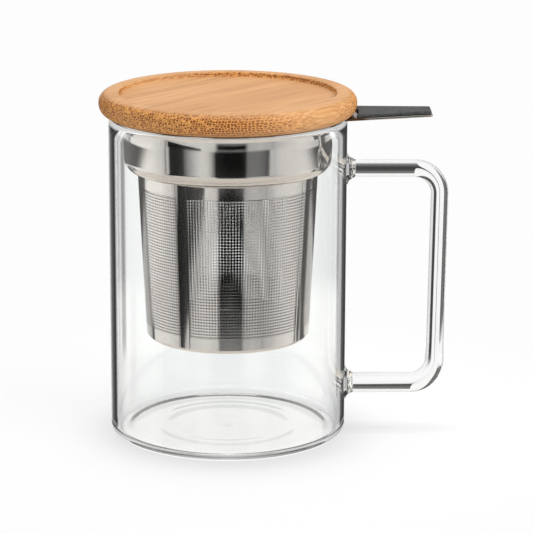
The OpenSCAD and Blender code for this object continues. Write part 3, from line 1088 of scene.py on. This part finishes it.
# %% World
# brightness at (degrees from the camera's side): upright steel, then the cone of the basket
WALLS = [
    (-180, 1.0), (-140, 0.8), (-133, 0.45), (-129, 1.4), (-95, 1.45), (-84, 1.2), (-73, 0.95),
    (-71, 0.3), (-69.3, 0.9), (-67.5, 0.8), (-65.5, 0.035), (-50, 0.03), (-46.5, 0.26), (-40, 0.6),
    (-30, 1.05), (-22, 0.95), (-17.5, 0.6), (-13, 0.015), (0, 0.002), (14, 0.003), (19, 0.02),
    (21.5, 0.26), (34, 0.26), (44.5, 0.12), (47.5, 0.85), (52, 0.8), (60, 1.0), (92, 1.15),
    (116.5, 0.85), (119, 0.08), (128, 0.12), (135, 1.0)]
CONE = [
    (-180, 0.5), (-160, 0.08), (-141, 0.08), (-138, 0.7), (-134.5, 0.7), (-131.5, 0.06), (-127.5, 0.06),
    (-124, 1.25), (-96, 1.3), (-84, 1.15), (-73, 0.95), (-71.5, 0.3), (-69.5, 0.8), (-60, 0.9),
    (-30, 1.05), (-16, 0.95), (0, 0.9), (20, 0.65), (35, 0.78), (48, 0.7), (50, 0.6), (52, 0.72),
    (68, 0.95), (90, 1.25), (106, 1.2), (108.5, 0.1), (117, 0.12), (119, 0.75), (121.5, 0.75),
    (123.5, 0.05), (150, 0.06), (170, 0.4)]
# brightness of the backdrop at (degrees from straight behind): through the mug, through
# the handle's rod, and off the inside of the wall's edges
MUG_BACK = [
    (-42, 3.0), (-30, 2.6), (-23.8, 1.9), (-20.2, 0.5), (-17.5, 1.2), (-15.8, 1.15), (-14.6, 0.6),
    (-13.3, 0.25), (-12.4, 0.31), (-11.5, 0.5), (-10.8, 1.1), (8, 1.02), (11, 1.15), (14.5, 1.3),
    (17.6, 1.75), (19.3, 1.2), (21, 0.85), (24.6, 0.33), (29, 0.9), (42, 1.4)]
ROD_BACK = [
    (-52, 0.95), (-49.5, 0.07), (-40, 0.06), (-30, 0.15), (-20, 0.1), (-17.5, 0.2), (-16.5, 1.0),
    (16, 1.0), (18.5, 0.3), (20, 0.05), (30, 0.06), (33, 0.25), (36, 0.85)]
EDGE_BACK = [
    (-80, 0.004), (-60, 0.5), (-42, 0.95), (-35.2, 0.9), (-32, 0.16), (-28.6, 0.02), (-25, 0.09),
    (-20.4, 0.1), (-15.5, 0.15), (-8.4, 0.1), (8.4, 0.1), (15.5, 0.04), (20.4, 0.14), (25, 0.13),
    (27, 0.4), (28.6, 0.72), (35, 0.78), (50, 0.6), (65, 0.3), (80, 0.004)]
FOOT_BACK = [
    (-180, 0.9), (-110, 0.8), (-80, 0.2), (-45, 0.2), (-25, 0.6), (0, 0.9), (25, 0.6), (45, 0.2),
    (80, 0.2), (110, 0.8), (180, 0.9)]
ARM_BACK = [
    (-40, 1.0), (-35, 0.7), (-32, 0.28), (-24, 0.1), (-14, 0.055), (-4, 0.07), (4, 0.15), (12.5, 0.2),
    (16, 1.0)]
# light caught in the rims of the glass, by the direction in which it is let out
RIM_BACK = [(-180, 0.04), (-38, 0.04), (-14, 0.42), (0, 0.6), (14, 0.42), (38, 0.04), (180, 0.04)]
# what the inside of the basket shows, by the direction in which light leaves it
LINING = [(-180, 0.05), (-100, 0.05), (-88, 3.4), (62, 3.4), (74, 0.05), (180, 0.05)]
# soft steps from one part of the room to the next, in degrees up: cone to wall, to the
# table below and to the panel above
WALL_FROM, TABLE_FROM, OVERHEAD_FROM = (-17.75, -17.25), (-23.5, -28.0), (28.0, 38.0)
# the camera stand: its middle and its soft sides in degrees round, and the fall of its top
STAND_MIDDLE, STAND_SIDE, STAND_FALL = 4.0, (13.5, 19.5), 0.014
# the dark gap: its heights, where its right edge runs at each of them, and its left edge
GAP_UP, GAP_RIGHT, GAP_LEFT = (-20.98, -18.26), (-68.5, -29.0), (-69.2, -67.8)
# degrees up between which light from the basket's inside leaves the mug, those that a
# ray from the basket's outside takes, and where its wall ends above its floor
INSIDE_LOW, INSIDE_HIGH = (-15.0, -14.2), (16.1, 15.6)
OUTSIDE_LOW, OUTSIDE_HIGH = (-6.6, -6.1), (6.0, 5.0)
INSIDE_WALL = (-11.2, -10.5)
# sideways part of the directions in which the handle's arms are seen
ARMS_LEFT, ARMS_RIGHT = (0.0437, 0.0455), (0.0745, 0.072)
# how much of the room the outside of the glass mirrors, by the direction it sends a ray
GLASS_SIDES = [
    (-180, 1.0), (-166, 1.0), (-160, 0.6), (-155, 0.2), (-151, 0.16), (-147, 0.04), (-128, 0.04),
    (-112, 0.9), (112, 0.9), (128, 0.06), (168, 0.06), (174, 0.9), (180, 1.0)]


def warm(level):
    """A grey of this level, slightly warm where it is bright."""
    share = min(level, 1.0)
    return (level, level * (1 - 0.035 * share), level * (1 - 0.065 * share))


def spread_ramp(tree, angle, stops, colour=warm):
    """A colour ramp over an angle in degrees, from its first stop to its last."""
    first, last = stops[0][0], stops[-1][0]
    share = ranged(tree, angle, first, last)
    return ramp(tree, share, [((a - first) / (last - first), colour(b)) for a, b in stops])


def degrees(tree, operation, *values):
    return math_node(tree, "DEGREES", math_node(tree, operation, *values))


def without(tree, mask):
    return math_node(tree, "SUBTRACT", 1.0, mask)


def mirrored_room(tree, round_deg, up_deg):
    """What steel shows: panels by direction, the bright table below, a panel above."""
    # the dark camera stand in front, with a peaked top; a little light below and above it
    aside = math_node(tree, "ABSOLUTE", math_node(tree, "SUBTRACT", round_deg, STAND_MIDDLE))
    front = without(tree, smooth(tree, aside, *STAND_SIDE))
    peak = math_node(tree, "ADD", up_deg, times(tree, aside, STAND_FALL))
    stand = spread_ramp(tree, peak, [
        (-26, 0.9), (-23, 0.5), (-21.2, 0.22), (-20.6, 0.14), (-20.0, 0.006), (-18.27, 0.004),
        (-18.2, 0.2), (-17.7, 0.24)])
    cone = mixed(tree, front, spread_ramp(tree, round_deg, CONE), stand)
    # a slanted dark gap on the left
    edge = ranged(tree, up_deg, *GAP_UP, *GAP_RIGHT)
    past = smooth(tree, math_node(tree, "SUBTRACT", round_deg, edge), -1.5, 1.5)
    gap = times(tree, smooth(tree, round_deg, *GAP_LEFT), without(tree, past))
    cone = mixed(tree, gap, cone, grey(0.012))
    room = mixed(tree, smooth(tree, up_deg, *WALL_FROM), cone, spread_ramp(tree, round_deg, WALLS))
    room = mixed(tree, smooth(tree, up_deg, *TABLE_FROM), room, (1.06, 0.96, 0.865))
    return mixed(tree, smooth(tree, up_deg, *OVERHEAD_FROM), room, (1.2, 1.19, 1.17))


def basket_lining(tree, shown, round_deg, up_deg, crossed, mirrored):
    """The basket's inside, seen through its holes: bright opposite the camera, else dark.

    Light from there leaves the mug between two heights, after four passes through
    glass. Once mirrored and about level it comes from the basket's outside instead.
    """
    once = below(tree, mirrored, 1.5)
    outside = times(
        tree, once, smooth(tree, up_deg, *OUTSIDE_LOW), smooth(tree, up_deg, *OUTSIDE_HIGH))
    inner = times(
        tree, smooth(tree, up_deg, *INSIDE_LOW), smooth(tree, up_deg, *INSIDE_HIGH),
        above(tree, crossed, 3.5), without(tree, outside))
    wall = times(tree, once, smooth(tree, up_deg, *INSIDE_WALL))
    lining = mixed(tree, wall, grey(0.05), spread_ramp(tree, round_deg, LINING, grey))
    return mixed(tree, inner, shown, lining)


def studio_world():
    """White for the camera, an even fill for diffuse rays, the studio for the rest.

    How often a ray has crossed glass or been mirrored is a whole number, so each
    limit lies half way between two of them.
    """
    world = bpy.data.worlds.new("studio")
    bpy.context.scene.world = world
    world.use_nodes = True
    tree = world.node_tree
    place = add_node(tree, "TexCoord").outputs["Generated"]
    x, y, z = add_node(tree, "SeparateXYZ", {0: place}).outputs
    round_deg = degrees(tree, "ARCTAN2", x, times(tree, y, -1.0))
    behind = degrees(tree, "ARCTAN2", x, y)
    up_deg = degrees(tree, "ARCSINE", z)
    path = add_node(tree, "LightPath").outputs
    crossed, mirrored = path["Transmission Depth"], path["Glossy Depth"]
    few = below(tree, crossed, 2.5)
    # straight through the glass: the mug's view, or for few crossings the rod's and the arms'
    level = times(tree, smooth(tree, x, *ARMS_LEFT), smooth(tree, x, *ARMS_RIGHT))
    rods = mixed(
        tree, level, spread_ramp(tree, behind, ROD_BACK, grey), spread_ramp(tree, up_deg, ARM_BACK, grey))
    straight = mixed(tree, few, spread_ramp(tree, behind, MUG_BACK, grey), rods)
    # mirrored inside the glass: its edges and its foot
    edges = mixed(
        tree, smooth(tree, up_deg, -30.0, -24.0), spread_ramp(tree, behind, FOOT_BACK, grey),
        spread_ramp(tree, behind, EDGE_BACK, grey))
    room = mirrored_room(tree, round_deg, up_deg)
    turned = mixed(tree, times(tree, few, above(tree, crossed, 1.5)), room, edges)
    # mirrored by the outside of the glass
    sides = mixed(tree, 1.0, turned, spread_ramp(tree, round_deg, GLASS_SIDES, grey), "MULTIPLY")
    turned = mixed(tree, below(tree, crossed, 0.5), turned, sides)
    turned = basket_lining(tree, turned, round_deg, up_deg, crossed, mirrored)
    # steel that mirrors itself in the glass shows almost nothing, light caught in a rim is pale
    many = above(tree, mirrored, CAUGHT)
    turned = mixed(tree, many, turned, mixed(tree, 1.0, turned, grey(0.15), "MULTIPLY"))
    rim_light = mixed(
        tree, smooth(tree, up_deg, -17.0, -22.0), spread_ramp(tree, behind, RIM_BACK, grey), grey(0.8))
    turned = mixed(tree, times(tree, many, below(tree, crossed, 1.5)), turned, rim_light)
    shown = mixed(tree, above(tree, mirrored, 0.5), straight, turned)
    shown = mixed(tree, above(tree, path["Diffuse Depth"], 0.5), shown, (0.52, 0.52, 0.53))
    shown = mixed(tree, path["Is Camera Ray"], shown, grey(WHITE))
    fill(tree, tree.nodes["Background"].inputs["Color"], shown)


studio_world()
print("studio:", len(WALLS), "stops round the walls,", len(CONE), "round the cone")


# %% Lamps
def lamp(name, place, aim, size, watts):
    """A square area lamp at a place, aimed at a point."""
    light = bpy.data.lights.new(name, "AREA")
    light.shape = "RECTANGLE"
    light.size, light.size_y = size
    light.energy = watts
    source = bpy.data.objects.new(name, light)
    source.location = place
    source.rotation_euler = (Vector(aim) - Vector(place)).to_track_quat("-Z", "Y").to_euler()
    source.visible_glossy = False
    source.visible_transmission = False
    bpy.context.scene.collection.objects.link(source)
    return source


lamp("key_panel", (0.58, -0.38, 0.55), (0, 0, 0.06), (0.5, 0.6), 5.4)
lamp("side_panel", (-0.55, -0.35, 0.75), (0, 0, 0.06), (0.6, 0.6), 0.15)
lamp("top_panel", (0.0, 0.25, 0.9), (0, 0, 0.05), (0.8, 0.8), 4.8)

# %% [markdown]
# ## The camera
# A long lens from a little above, with the mug left of the picture's middle.

# %% Camera
FOCAL_PIXELS = 2731.09
PICTURE = 533
DISTANCE = 0.92955
ELEVATION = 14.9
AIM_HEIGHT = 0.04492
MIDDLE_X, MIDDLE_Y = 227.83, 300.0
camera_data = bpy.data.cameras.new("camera")
camera_data.sensor_width = 36.0
camera_data.lens = FOCAL_PIXELS / PICTURE * camera_data.sensor_width
camera_data.shift_x = (PICTURE / 2 - MIDDLE_X) / PICTURE
camera_data.shift_y = (MIDDLE_Y - PICTURE / 2) / PICTURE
camera_data.clip_end = 20.0
camera = bpy.data.objects.new("camera", camera_data)
tilt = np.radians(ELEVATION)
camera.location = (0, -DISTANCE * np.cos(tilt), AIM_HEIGHT + DISTANCE * np.sin(tilt))
camera.rotation_euler = (np.pi / 2 - tilt, 0, 0)
bpy.context.scene.collection.objects.link(camera)
bpy.context.scene.camera = camera
bpy.context.scene.view_settings.view_transform = "Standard"
print("lens:", round(camera_data.lens, 1), "mm")
